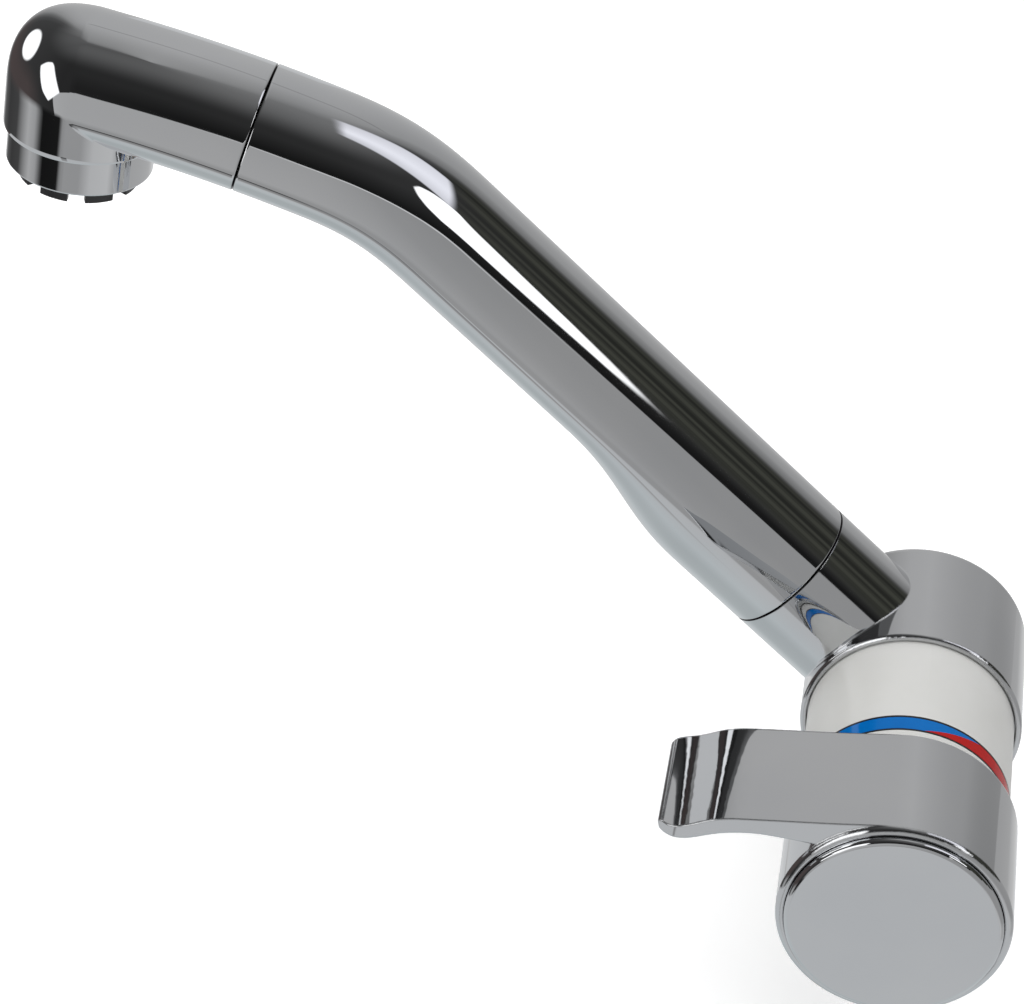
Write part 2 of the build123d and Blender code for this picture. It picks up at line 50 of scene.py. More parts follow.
# ---------------------------------------------------------------- camera, at the photograph's angle
AZ, EL, ROLL = math.radians(2.535), math.radians(34.587), math.radians(-10.395)
view_z = Vector((-math.cos(EL) * math.cos(AZ), -math.cos(EL) * math.sin(AZ), -math.sin(EL)))
view_x = view_z.cross(Vector((0, 0, 1))).normalized()
view_y = view_z.cross(view_x)
cr, sr = math.cos(ROLL), math.sin(ROLL)
view_x, view_y = cr * view_x + sr * view_y, -sr * view_x + cr * view_y
cam = bpy.data.cameras.new("photo_camera")
cam.sensor_fit = "HORIZONTAL"
cam.sensor_width = 36.0
cam.lens = 3465.4 / 1024 * 36.0
cam.clip_start = 0.01
cam.clip_end = 50
cam_obj = bpy.data.objects.new("photo_camera", cam)
m = Matrix((view_x, -view_y, -view_z)).transposed().to_4x4()
m.translation = Vector((0.54512, -0.05877, 0.43412))
cam_obj.matrix_world = m
scene.collection.objects.link(cam_obj)
scene.camera = cam_obj


# ---------------------------------------------------------------- node helpers
def new_material(name):
    mat = bpy.data.materials.new(name)
    mat.use_nodes = True
    nt = mat.node_tree
    return mat, nt, nt.nodes["Principled BSDF"]


def node(nt, kind, **values):
    n = nt.nodes.new(kind)
    for key, value in values.items():
        if key.startswith("_"):
            setattr(n, key[1:], value)
        else:
            n.inputs[key].default_value = value
    return n


def object_coords(nt, scale=(1, 1, 1)):
    tc = nt.nodes.new("ShaderNodeTexCoord")
    mp = node(nt, "ShaderNodeMapping")
    mp.inputs["Scale"].default_value = scale
    nt.links.new(tc.outputs["Object"], mp.inputs["Vector"])
    return mp.outputs["Vector"]


def noise(nt, vec, scale, detail=3.0, rough=0.5):
    n = node(nt, "ShaderNodeTexNoise", Scale=scale, Detail=detail, Roughness=rough)
    nt.links.new(vec, n.inputs["Vector"])
    return n.outputs["Fac"]


def ramp(nt, fac, stops):
    r = nt.nodes.new("ShaderNodeValToRGB")
    while len(r.color_ramp.elements) > 1:
        r.color_ramp.elements.remove(r.color_ramp.elements[-1])
    for i, (pos, col) in enumerate(stops):
        e = r.color_ramp.elements[0] if i == 0 else r.color_ramp.elements.new(pos)
        e.position = pos
        e.color = (*col, 1.0)
    nt.links.new(fac, r.inputs["Fac"])
    return r.outputs["Color"]


def spread(nt, fac, lo, hi, a=0.3, b=0.7, kind="LINEAR"):
    r = nt.nodes.new("ShaderNodeMapRange")
    r.interpolation_type = kind
    for key, value in zip(("From Min", "From Max", "To Min", "To Max"), (a, b, lo, hi)):
        r.inputs[key].default_value = value
    nt.links.new(fac, r.inputs["Value"])
    return r.outputs["Result"]


def calc(nt, op, a, b=None, c=None):
    n = nt.nodes.new("ShaderNodeMath")
    n.operation = op
    for i, v in enumerate((a, b, c)):
        if v is None:
            continue
        if isinstance(v, (int, float)):
            n.inputs[i].default_value = v
        else:
            nt.links.new(v, n.inputs[i])
    return n.outputs[0]


def bump(nt, bsdf, height, strength, distance):
    b = nt.nodes.new("ShaderNodeBump")
    b.inputs["Strength"].default_value = strength
    b.inputs["Distance"].default_value = distance
    nt.links.new(height, b.inputs["Height"])
    nt.links.new(b.outputs["Normal"], bsdf.inputs["Normal"])


def mix(nt, fac, a, b):
    n = nt.nodes.new("ShaderNodeMix")
    n.data_type = "RGBA"
    for value, sock in ((fac, n.inputs["Factor"]), (a, n.inputs[6]), (b, n.inputs[7])):
        if isinstance(value, (int, float)):
            sock.default_value = value
        elif isinstance(value, tuple):
            sock.default_value = (*value, 1.0)
        else:
            nt.links.new(value, sock)
    return n.outputs[2]


# ---------------------------------------------------------------- materials
def chrome(name="chrome_plate_look", edge=0.0):
    mat, nt, b = new_material(name)
    v = object_coords(nt)
    cloud = noise(nt, v, 34.0, 3.0, 0.5)
    fine = noise(nt, v, 420.0, 2.0, 0.5)
    nt.links.new(ramp(nt, cloud, [(0.30, (0.575, 0.585, 0.600)), (0.70, (0.605, 0.612, 0.622))]), b.inputs["Base Color"])
    nt.links.new(spread(nt, calc(nt, "MULTIPLY", cloud, fine), 0.018, 0.045, 0.12, 0.40), b.inputs["Roughness"])
    b.inputs["Metallic"].default_value = 1.0
    bump(nt, b, cloud, 0.05, 0.0004)
    if edge:
        soft = nt.nodes.new("ShaderNodeBevel")
        soft.samples = 6
        soft.inputs["Radius"].default_value = edge
        nt.links.new(soft.outputs["Normal"], next(n for n in nt.nodes if n.type == "BUMP").inputs["Normal"])
    return mat


def white_ring():
    mat, nt, b = new_material("white_ring_look")
    tc = nt.nodes.new("ShaderNodeTexCoord")
    sep = nt.nodes.new("ShaderNodeSeparateXYZ")
    nt.links.new(tc.outputs["Object"], sep.inputs["Vector"])
    cloud = noise(nt, tc.outputs["Object"], 60.0, 3.0, 0.55)
    fine = noise(nt, tc.outputs["Object"], 1800.0, 2.0, 0.5)
    body = ramp(nt, cloud, [(0.30, (0.690, 0.690, 0.665)), (0.70, (0.730, 0.730, 0.710))])
    lines = None
    for x0 in (0.03857, 0.04243):
        d = calc(nt, "ABSOLUTE", calc(nt, "SUBTRACT", sep.outputs["X"], x0))
        line = spread(nt, d, 1.0, 0.0, 0.00024, 0.00030)
        lines = line if lines is None else calc(nt, "MAXIMUM", lines, line)
    nt.links.new(mix(nt, lines, body, (0.004, 0.004, 0.004)), b.inputs["Base Color"])
    nt.links.new(spread(nt, cloud, 0.30, 0.38), b.inputs["Roughness"])
    b.inputs["IOR"].default_value = 1.5
    b.inputs["Specular IOR Level"].default_value = 0.35
    bump(nt, b, fine, 0.04, 0.0001)
    return mat


def mark(name, low, high):
    mat, nt, b = new_material(name)
    v = object_coords(nt)
    cloud = noise(nt, v, 120.0, 3.0, 0.55)
    fine = noise(nt, v, 2200.0, 2.0, 0.5)
    nt.links.new(ramp(nt, cloud, [(0.30, low), (0.70, high)]), b.inputs["Base Color"])
    nt.links.new(spread(nt, cloud, 0.06, 0.10), b.inputs["Roughness"])
    b.inputs["IOR"].default_value = 1.5
    b.inputs["Specular IOR Level"].default_value = 0.12
    bump(nt, b, fine, 0.04, 0.0001)
    return mat


def plastic(name, low, high, rough=(0.38, 0.5), grain=900.0):
    mat, nt, b = new_material(name)
    v = object_coords(nt)
    cloud = noise(nt, v, 90.0, 3.0, 0.55)
    fine = noise(nt, v, grain, 3.0, 0.6)
    nt.links.new(ramp(nt, cloud, [(0.30, low), (0.70, high)]), b.inputs["Base Color"])
    nt.links.new(spread(nt, fine, *rough), b.inputs["Roughness"])
    bump(nt, b, fine, 0.12, 0.0002)
    return mat


def machined(name, low, high, rough=(0.20, 0.34), stretch=(60.0, 60.0, 4000.0)):
    mat, nt, b = new_material(name)
    marks = noise(nt, object_coords(nt, stretch), 1.0, 2.0, 0.5)
    cloud = noise(nt, object_coords(nt), 70.0, 3.0, 0.6)
    nt.links.new(ramp(nt, cloud, [(0.30, low), (0.70, high)]), b.inputs["Base Color"])
    nt.links.new(spread(nt, marks, *rough), b.inputs["Roughness"])
    b.inputs["Metallic"].default_value = 1.0
    bump(nt, b, marks, 0.12, 0.0001)
    return mat


looks = {
    "chrome_plate": chrome(),
    "white_ring": white_ring(),
    "blue_mark": mark("blue_mark_look", (0.001, 0.138, 0.470), (0.002, 0.160, 0.520)),
    "red_mark": mark("red_mark_look", (0.430, 0.008, 0.007), (0.500, 0.012, 0.010)),
    "black_plastic": plastic("black_plastic_look", (0.010, 0.010, 0.011), (0.022, 0.022, 0.023), (0.28, 0.4)),
    "natural_plastic": plastic("natural_plastic_look", (0.60, 0.58, 0.50), (0.68, 0.66, 0.58)),
    "black_rubber": plastic("black_rubber_look", (0.012, 0.012, 0.012), (0.026, 0.025, 0.024), (0.55, 0.72), 600.0),
    "raw_brass": machined("raw_brass_look", (0.60, 0.40, 0.16), (0.72, 0.50, 0.22)),
    "steel": machined("steel_look", (0.46, 0.46, 0.45), (0.56, 0.56, 0.55), (0.24, 0.40)),
    "copper_tube": machined("copper_tube_look", (0.62, 0.28, 0.16), (0.76, 0.38, 0.24), (0.18, 0.32), (900.0, 900.0, 30.0)),
    "ceramic_disc": plastic("ceramic_disc_look", (0.76, 0.76, 0.72), (0.84, 0.84, 0.80), (0.10, 0.18), 500.0),
    "water_pipe": plastic("water_pipe_look", (0.56, 0.59, 0.62), (0.64, 0.67, 0.70), (0.30, 0.42)),
}
slot_of = {}
for entry in frame["record"].get("materials", []):
    for name in entry.get("nodes", []):
        slot_of[name] = entry["slot"]
SLOTS = {
    "chrome_plate": ["rear_body", "spout_arm", "spout_head", "lever_handle", "end_cap", "aerator_collar", "base_ring"],
    "white_ring": ["indicator_ring"],
    "blue_mark": ["blue_band"],
    "red_mark": ["red_band"],
    "black_plastic": ["aerator_insert"],
    "natural_plastic": ["aerator_screen", "cartridge_housing", "disc_carrier", "swivel_slip_ring", "thrust_washer",
                        "root_sleeve", "head_sleeve"],
    "black_rubber": ["aerator_washer", "base_gasket", "backing_gasket", "cartridge_seal", "root_sleeve_o_rings",
                     "spindle_o_rings", "swivel_o_rings"],
    "raw_brass": ["shank", "fixing_nut", "cartridge_nut", "cartridge_seat", "spindle", "swivel_journal"],
    "steel": ["backing_washer", "swivel_stop_screw", "handle_screw", "journal_washer", "journal_circlip"],
    "copper_tube": ["inlet_tail_cold", "inlet_tail_hot"],
    "ceramic_disc": ["fixed_disc", "moving_disc"],
    "water_pipe": ["water_tube"],
}
for slot, names in SLOTS.items():
    for name in names:
        slots = nodes[name].material_slots
        if len(slots) == 0:
            nodes[name].data.materials.append(looks[slot])
        for k in range(len(slots)):
            slots[k].material = looks[slot]

edged = chrome("chrome_plate_edges_look", 0.0005)
for name in ("lever_handle", "rear_body"):
    for k in range(len(nodes[name].material_slots)):
        nodes[name].material_slots[k].material = edged

# ---------------------------------------------------------------- spout shape, as in the CAD (millimetres)
BARREL_H = 37.0
SEAM_Y, SEAM_Z, SEAM_R = -28.95, 20.10, 14.02
ARM_DIR, HEAD_DIR, END_DIR = 144.48, 169.0, 174.8
BEND_S, BEND_W, SPOUT_S = 90.1, 34.9, 158.5
SPOUT_R, SPOUT_R_S, SPOUT_LOW = 14.4, 120.5, 7.77
NECK_S, NECK_W = 15.7, 39.0
HEAD_S, END_S = 132.3, 163.6
OUTLET_Y, HEAD_BOTTOM = -172.2, 119.95
STEP = 0.25


def smooth(u):
    u = min(1.0, max(0.0, u))
    return u * u * u * (u * (6 * u - 15) + 10)


def spout_dir(s):
    a = ARM_DIR + (HEAD_DIR - ARM_DIR) * smooth((s - BEND_S) / BEND_W)
    return math.radians(a + (END_DIR - HEAD_DIR) * min(1.0, max(0.0, (s - BEND_S - BEND_W) / (SPOUT_S - BEND_S - BEND_W))))


walk = [(SEAM_Y, BARREL_H + SEAM_Z)]
for i in range(int(180 / STEP)):
    a = spout_dir((i + 0.5) * STEP)
    walk.append((walk[-1][0] + STEP * math.cos(a), walk[-1][1] + STEP * math.sin(a)))


def centre(s):
    k = min(int(s / STEP), len(walk) - 2)
    u = s / STEP - k
    return (walk[k][0] * (1 - u) + walk[k + 1][0] * u, walk[k][1] * (1 - u) + walk[k + 1][1] * u)


def spout_up(s):
    return SEAM_R + (SPOUT_R - SEAM_R) * min(1.0, max(0.0, s / SPOUT_R_S))


def spout_low(s):
    return SEAM_R + (SPOUT_LOW - SEAM_R) * smooth((s - NECK_S) / NECK_W)


def place(s, x, h, lean=0.0):
    """A point of the section at s: x across, h above the centre line; lean tips the section along the run."""
    a = spout_dir(s)
    cy, cz = centre(s)
    return (x, cy + h * (math.sin(a) + lean * math.cos(a)), cz + h * (-math.cos(a) + lean * math.sin(a)))


def ring(s, up_in, low_in, count, r=None):
    pts = []
    up = spout_up(s) - up_in if r is None else r
    low = spout_low(s) - low_in if r is None else r
    for j in range(count):
        f = 2 * math.pi * j / count
        pts.append(place(s, up * math.cos(f), (up if math.sin(f) >= 0 else low) * math.sin(f)))
    return pts


def stations(a, b, step):
    n = max(2, int(math.ceil((b - a) / step)) + 1)
    return [a + (b - a) * i / (n - 1) for i in range(n)]


def make_object(name, verts, faces, body, node_name, slot, sharp=35.0, weld=0.0):
    me = bpy.data.meshes.new(name)
    me.from_pydata([(x * 0.001, y * 0.001, z * 0.001) for x, y, z in verts], [], faces)
    bm = bmesh.new()
    bm.from_mesh(me)
    if weld:
        bmesh.ops.remove_doubles(bm, verts=bm.verts, dist=weld)
        bmesh.ops.dissolve_degenerate(bm, edges=bm.edges, dist=1e-8)
    bmesh.ops.recalc_face_normals(bm, faces=bm.faces)
    bm.to_mesh(me)
    bm.free()
    me.polygons.foreach_set("use_smooth", [True] * len(me.polygons))
    me.set_sharp_from_angle(angle=math.radians(sharp))
    me.update()
    ob = bpy.data.objects.new(name, me)
    scene.collection.objects.link(ob)
    me.materials.append(looks[slot])
    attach(ob, body)
    if node_name:
        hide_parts(node_name)
    return ob


# ---------------------------------------------------------------- spout arm: one hollow tube with rounded ends
COUNT = 160
GAP = 0.08
EDGE = [(0.0, 0.32), (0.043, 0.16), (0.16, 0.043), (0.32, 0.0)]
rows = [ring(GAP + s, i, i, COUNT) for s, i in EDGE]
rows += [ring(s, 0, 0, COUNT) for s in stations(0.66, HEAD_S - 0.66, 1.0)]
rows += [ring(HEAD_S - GAP - s, i, i, COUNT) for s, i in reversed(EDGE)]
bore = [HEAD_S - GAP - (HEAD_S - GAP - 13.0) * i / 30.0 for i in range(31)]
rows += [ring(s, 2.0, 1.8 if spout_low(s) < spout_up(s) - 0.2 else 2.0, COUNT) for s in bore]
rows += [ring(13.0, 0, 0, COUNT, 11.0), ring(GAP, 0, 0, COUNT, 11.0)]
verts, faces = [], []
for r in rows:
    verts += r
n = len(rows)
for i in range(n):
    for j in range(COUNT):
        a, b = i * COUNT + j, i * COUNT + (j + 1) % COUNT
        c, d = ((i + 1) % n) * COUNT + (j + 1) % COUNT, ((i + 1) % n) * COUNT + j
        faces.append((a, b, c, d))
arm = make_object("spout_arm_skin", verts, faces, "tap_body", "spout_arm", "chrome_plate")

# ---------------------------------------------------------------- spout head: tube, rounded crown and outlet in one skin
verts, faces = [], []


def grid(rows):
    base = len(verts)
    w = len(rows[0])
    for r in rows:
        verts.extend(r)
    for i in range(len(rows) - 1):
        for j in range(w - 1):
            faces.append((base + i * w + j, base + i * w + j + 1, base + (i + 1) * w + j + 1, base + (i + 1) * w + j))


N = 80
phis = [math.pi * j / N for j in range(N + 1)]
s_out = next(i for i in range(len(walk)) if walk[i][1] and walk[i][0] < OUTLET_Y)
u = (OUTLET_Y - walk[s_out - 1][0]) / (walk[s_out][0] - walk[s_out - 1][0])
S_OUT = (s_out - 1 + u) * STEP
out_z = centre(S_OUT)[1]
tilt = math.tan(math.pi - spout_dir(S_OUT))
R, RW = SPOUT_R, SPOUT_R * math.sqrt(1 + tilt * tilt)
LOWV = SPOUT_LOW * math.sqrt(1 + tilt * tilt)
HEAD_EDGE = [(0.0, 0.32), (0.043, 0.16), (0.16, 0.043), (0.32, 0.0)]
run = [(HEAD_S + s, i) for s, i in HEAD_EDGE] + [(s, 0.0) for s in stations(HEAD_S + 0.56, S_OUT, 1.0)]


def lean_at(s):
    return tilt * smooth((s - HEAD_S - 2.0) / (S_OUT - HEAD_S - 2.0))


grid([[place(s, (spout_up(s) - i) * math.cos(f), (spout_up(s) - i) * math.sin(f), lean_at(s)) for f in phis] for s, i in run])
# crown, a superellipse from the tube's top to the outlet's front
CROWN = 2.6
dense = [math.pi / 2 * i / 4000 for i in range(4001)]
curve = [(math.sin(t) ** (2 / CROWN), math.cos(t) ** (2 / CROWN)) for t in dense]
acc = [0.0]
for i in range(1, len(curve)):
    acc.append(acc[-1] + math.hypot(curve[i][0] - curve[i - 1][0], curve[i][1] - curve[i - 1][1]))
pick = []
for k in range(41):
    t = acc[-1] * k / 40
    i = min(range(len(acc)), key=lambda q: abs(acc[q] - t))
    pick.append(curve[i])
pick[0], pick[-1] = (0.0, 1.0), (1.0, 0.0)
grid([[(R * math.cos(f), OUTLET_Y - R * math.sin(f) * cu, out_z + RW * math.sin(f) * cw) for f in phis] for cu, cw in pick])


def lower_end(f):
    """Where the lower skin of the tube meets the outlet: radius from the outlet's axis, y and z."""
    x = R * math.cos(f)

    def at(radius):
        uu = math.sqrt(max(0.0, radius * radius - x * x))
        return uu, out_z - tilt * uu - LOWV * math.sin(f)
    uu, z = at(R)
    k = smooth((HEAD_BOTTOM - z) / 0.12)
    uu, z = at(R - 0.65 * k)
    return R - 0.65 * k, uu, z


ends = [lower_end(f) for f in phis]
low_rows = []
for k, (s, i) in enumerate(run):
    row = []
    for f, (rad, uu, z) in zip(phis, ends):
        if k < len(HEAD_EDGE):
            row.append(place(s, (spout_up(s) - i) * math.cos(f), -(spout_low(s) - i) * math.sin(f)))
            continue
        t = (k - len(HEAD_EDGE)) / (len(run) - 1 - len(HEAD_EDGE))
        s0 = HEAD_S + 0.56
        s1 = S_OUT - uu / math.cos(math.pi - spout_dir(S_OUT))
        for _ in range(3):
            y = place(s1, 0, -spout_low(s1) * math.sin(f))[1]
            s1 -= (OUTLET_Y + uu - y) / math.cos(math.pi - spout_dir(s1))
        q = s0 + (s1 - s0) * t
        row.append(place(q, spout_up(q) * math.cos(f), -spout_low(q) * math.sin(f)))
    low_rows.append(row)
low_rows[-1] = [(R * math.cos(f), OUTLET_Y + uu, z) for f, (rad, uu, z) in zip(phis, ends)]
low_rows[-1][0] = (R, OUTLET_Y, out_z)
low_rows[-1][-1] = (-R, OUTLET_Y, out_z)
grid(low_rows)
# outlet wall, front half and rear half
WALL_ROWS = 10


def wall_column(f, sign, radius, uu, top):
    e = 0.28 * min(1.0, max(0.0, (top - HEAD_BOTTOM) / 0.35))
    x = R * math.cos(f)
    col = []
    for k in range(WALL_ROWS + 1):
        col.append((x, OUTLET_Y - sign * uu, top + (HEAD_BOTTOM + e - top) * k / WALL_ROWS))
    full = math.hypot(x, uu)
    for dz, inset in ((0.07, 0.07), (0.0, 1.0)):
        g = (full - e * (0.25 if inset < 1 else 1.0)) / full
        col.append((x * g, OUTLET_Y - sign * uu * g, HEAD_BOTTOM + (e * 0.25 if inset < 1 else 0.0)))
    for r, z in ((12.0, HEAD_BOTTOM), (12.0, HEAD_BOTTOM + 7.2), (0.0, HEAD_BOTTOM + 7.2)):
        col.append((r * math.cos(f), OUTLET_Y - sign * r * math.sin(f), z))
    return col


front = [wall_column(f, 1, R, R * math.sin(f), out_z) for f in phis]
rear = [wall_column(f, -1, rad, uu, z) for f, (rad, uu, z) in zip(phis, ends)]
rear[0] = [v for v in front[0]]
rear[-1] = [v for v in front[-1]]
grid(front)
grid(rear)
# the end at the seam: ring, short bore and its floor
EDGE_IN = HEAD_EDGE[0][1]
for sign in (1, -1):
    rows = []
    for s, i in ((HEAD_S, EDGE_IN), (HEAD_S, 2.0), (HEAD_S + 12.0, 2.0), (HEAD_S + 12.0, 99.0)):
        up = max(0.0, spout_up(s) - i)
        low = max(0.0, spout_low(s) - (EDGE_IN if i < 1 else (1.8 if i < 50 else 99.0)))
        rows.append([place(s, up * math.cos(f), sign * (up if sign > 0 else low) * math.sin(f)) for f in phis])
    grid(rows)
head = make_object("spout_head_skin", verts, faces, "tap_body", "spout_head", "chrome_plate", 35.0, 2e-6)


# ---------------------------------------------------------------- painted shade: dark lines painted into the chrome's colour at the two spout seams
def paint_seam_shade(mat):
    nt = mat.node_tree
    b = next(n for n in nt.nodes if n.type == "BSDF_PRINCIPLED")
    tc = nt.nodes.new("ShaderNodeTexCoord")
    base = b.inputs["Base Color"].links[0].from_socket
    mask = None
    for s in (GAP / 2, HEAD_S - GAP / 2):
        p0 = Vector(place(s, 0.0, 0.0)) * 0.001
        along = (Vector(place(s + 0.5, 0.0, 0.0)) - Vector(place(s - 0.5 if s > 1 else s, 0.0, 0.0))).normalized()
        off = nt.nodes.new("ShaderNodeVectorMath")
        off.operation = "SUBTRACT"
        off.inputs[1].default_value = p0
        nt.links.new(tc.outputs["Object"], off.inputs[0])
        dot = nt.nodes.new("ShaderNodeVectorMath")
        dot.operation = "DOT_PRODUCT"
        dot.inputs[1].default_value = along
        nt.links.new(off.outputs["Vector"], dot.inputs[0])
        size = nt.nodes.new("ShaderNodeVectorMath")
        size.operation = "LENGTH"
        nt.links.new(off.outputs["Vector"], size.inputs[0])
        line = spread(nt, calc(nt, "ABSOLUTE", dot.outputs["Value"]), 1.0, 0.0, 0.00020, 0.00026)
        line = calc(nt, "MULTIPLY", line, spread(nt, size.outputs["Value"], 1.0, 0.0, 0.025, 0.026))
        mask = line if mask is None else calc(nt, "MAXIMUM", mask, line)
    # painted shade: the base colour goes near black in a thin band across each seam
    nt.links.new(mix(nt, mask, base, (0.030, 0.030, 0.032)), b.inputs["Base Color"])


spout_chrome_seam_shaded = chrome("chrome_plate_spout_seam_shade_look")
paint_seam_shade(spout_chrome_seam_shaded)
arm.data.materials[0] = spout_chrome_seam_shaded
head.data.materials[0] = spout_chrome_seam_shaded
# the same painted seam shade also goes on the rear body and lever chrome
paint_seam_shade(edged)


# ---------------------------------------------------------------- blue and red bands with one slanted joint
def band(name, slot, span_of):
    x0, x1, r0, r1, c = 23.1, 26.5, 19.05, 19.42, 0.05
    loop = [(x0, r0), (x0, r1 - c), (x0 + c, r1)]
    loop += [(x0 + (x1 - x0) * k / 8, r1) for k in range(1, 8)]
    loop += [(x1 - c, r1), (x1, r1 - c), (x1, r0)]
    count, n = 181, len(loop)
    vs, fs = [], []
    for i in range(count):
        for x, r in loop:
            lo, hi = span_of((x - x0) / (x1 - x0))
            f = math.radians(lo + (hi - lo) * i / (count - 1))
            vs.append((15.7 + x, r * math.cos(f), BARREL_H + r * math.sin(f)))
    for i in range(count - 1):
        for j in range(n):
            a, b = i * n + j, i * n + (j + 1) % n
            fs.append((a, b, b + n, a + n))
    fs.append(tuple(range(n)))
    fs.append(tuple((count - 1) * n + j for j in reversed(range(n))))
    return make_object(name + "_skin", vs, fs, "tap_body", name, slot)


band("blue_band", "blue_mark", lambda t: (57.0 + 34.0 * t + 0.1, 218.0))
band("red_band", "red_mark", lambda t: (-62.0, 57.0 + 34.0 * t - 0.1))


# ---------------------------------------------------------------- floor
def floor_material():
    mat, nt, b = new_material("studio_floor_look")
    v = object_coords(nt)
    nt.links.new(ramp(nt, noise(nt, v, 6.0), [(0.3, (0.90, 0.90, 0.90)), (0.7, (0.92, 0.92, 0.92))]), b.inputs["Base Color"])
    b.inputs["Roughness"].default_value = 0.9
    b.inputs["Specular IOR Level"].default_value = 0.0
    lp = nt.nodes.new("ShaderNodeLightPath")
    b.inputs["Emission Color"].default_value = (1, 1, 1, 1)
    nt.links.new(calc(nt, "MULTIPLY", lp.outputs["Is Camera Ray"], 0.46), b.inputs["Emission Strength"])
    return mat


bm = bmesh.new()
bmesh.ops.create_grid(bm, x_segments=12, y_segments=12, size=3.0)
me = bpy.data.meshes.new("studio_floor")
bm.to_mesh(me)
bm.free()
me.materials.append(floor_material())
floor = bpy.data.objects.new("studio_floor", me)
scene.collection.objects.link(floor)
floor.visible_glossy = False


# ---------------------------------------------------------------- small soft card beside the lever
card_mat, ct, _ = new_material("soft_card")
ct.nodes.clear()
card_out = ct.nodes.new("ShaderNodeOutputMaterial")
card_em = ct.nodes.new("ShaderNodeEmission")
card_em.inputs["Color"].default_value = (0.70, 0.71, 0.72, 1.0)
ct.links.new(card_em.outputs[0], card_out.inputs["Surface"])
card_mesh = bpy.data.meshes.new("soft_card")
c0, cn, cu = Vector((60.0, -35.0, 0.0)), math.radians(-146), 250.0
ahead, across = Vector((math.cos(cn), math.sin(cn), 0)), Vector((-math.sin(cn), math.cos(cn), 0))
card_mesh.from_pydata([tuple((c0 + ahead * cu + across * u + Vector((0, 0, h))) * 0.001)
                       for u, h in ((-52, -132), (11, -132), (11, 152), (-52, 152))], [], [(0, 1, 2, 3)])
card_mesh.materials.append(card_mat)
card = bpy.data.objects.new("soft_card", card_mesh)
bpy.context.scene.collection.objects.link(card)
card.visible_camera = False
card.visible_shadow = False
card.visible_diffuse = False

# ---------------------------------------------------------------- world: a studio with a few soft boxes
def direction(az, el):
    az, el = math.radians(az), math.radians(el)
    return Vector((math.cos(el) * math.cos(az), math.cos(el) * math.sin(az), math.sin(el)))


world = bpy.data.worlds.new("studio")
scene.world = world
world.use_nodes = True
wt = world.node_tree
wt.nodes.clear()
w_out = wt.nodes.new("ShaderNodeOutputWorld")
w_bg = wt.nodes.new("ShaderNodeBackground")
wt.links.new(w_bg.outputs[0], w_out.inputs["Surface"])
w_dir = wt.nodes.new("ShaderNodeTexCoord").outputs["Generated"]


def dot(vec):
    n = wt.nodes.new("ShaderNodeVectorMath")
    n.operation = "DOT_PRODUCT"
    wt.links.new(w_dir, n.inputs[0])
    n.inputs[1].default_value = vec
    return n.outputs["Value"]


def step(fac, a, b):
    return spread(wt, fac, 0.0, 1.0, a, b, "SMOOTHSTEP")


def polygon(corners, soft=0.02):
    """1 inside a convex window whose corners are directions (azimuth, elevation), counter-clockwise or clockwise."""
    dirs = [direction(*c) for c in corners]
    mid = sum(dirs, Vector()).normalized()
    mask = None
    for a, b in zip(dirs, dirs[1:] + dirs[:1]):
        nrm = a.cross(b).normalized()
        if nrm.dot(mid) < 0:
            nrm = -nrm
        edge = step(dot(nrm), -soft, soft)
        mask = edge if mask is None else calc(wt, "MULTIPLY", mask, edge)
    return mask


def disc(az, el, radius, soft=2.0):
    c = direction(az, el)
    return step(dot(c), math.cos(math.radians(radius + soft)), math.cos(math.radians(radius - soft)))


def ramp_values(fac, stops, lo, hi):
    """A piecewise linear value over an angle in degrees; stops are (angle, value)."""
    return ramp(wt, fac, [((x - lo) / (hi - lo), (v, v, v)) for x, v in stops])


w_sep = wt.nodes.new("ShaderNodeSeparateXYZ")
wt.links.new(w_dir, w_sep.inputs["Vector"])
az_n = calc(wt, "MULTIPLY_ADD", calc(wt, "ARCTAN2", w_sep.outputs["Y"], w_sep.outputs["X"]), 1 / (2 * math.pi), 0.5)
el_n = calc(wt, "MULTIPLY_ADD", calc(wt, "ARCSINE", w_sep.outputs["Z"]), 1 / math.pi, 0.5)
# the far edge of the table, as the chrome sees it
edge = ramp_values(az_n, [(az, (el + 90) / 180) for az, el in (
    (-180, -24), (-165, -24), (-161, -30), (-157, -36), (-126, -36), (-108, -30), (-60, -29), (-29.5, -27), (-28.5, 4), (-18, 10), (-7.5, 15), (0, 19.2), (10, 20.8),
    (30, 21.8), (38, 21.9), (45, 22.6), (52, 21.6), (62, 19), (90, 12), (120, 0), (141, -5), (146, -14), (153, -20),
    (165, -22), (180, -24))], -180, 180)
above = ramp_values(az_n, [(-180, 0.60), (-165, 0.57), (-158, 0.50), (-152, 0.40), (-147, 0.21), (-142, 0.11), (-135, 0.075), (-120, 0.066),
                           (-60, 0.050), (-20, 0.032), (0, 0.034), (30, 0.045), (60, 0.048), (100, 0.052),
                           (124, 0.055), (130, 0.11), (135, 0.26), (143, 0.37), (147, 0.45), (155, 0.48), (165, 0.53),
                           (180, 0.60)], -180, 180)
streak = wt.nodes.new("ShaderNodeTexNoise")
streak.noise_dimensions = "1D"
streak.inputs["Scale"].default_value = 34.0
streak.inputs["Detail"].default_value = 2.0
wt.links.new(az_n, streak.inputs["W"])
streak = spread(wt, streak.outputs["Fac"], 0.0, 1.0, 0.38, 0.62)
streak_on = calc(wt, "MULTIPLY", step(az_n, 235 / 360, 255 / 360), spread(wt, az_n, 1.0, 0.0, 305 / 360, 314 / 360))
streak_on = calc(wt, "MULTIPLY", streak_on, spread(wt, el_n, 1.0, 0.0, (37 + 90) / 180, (46 + 90) / 180))
above = mix(wt, streak_on, above, mix(wt, streak, (0.030, 0.031, 0.027), (0.072, 0.074, 0.061)))
low_dark = calc(wt, "MULTIPLY", step(az_n, 165 / 360, 180 / 360), spread(wt, az_n, 1.0, 0.0, 236 / 360, 248 / 360))
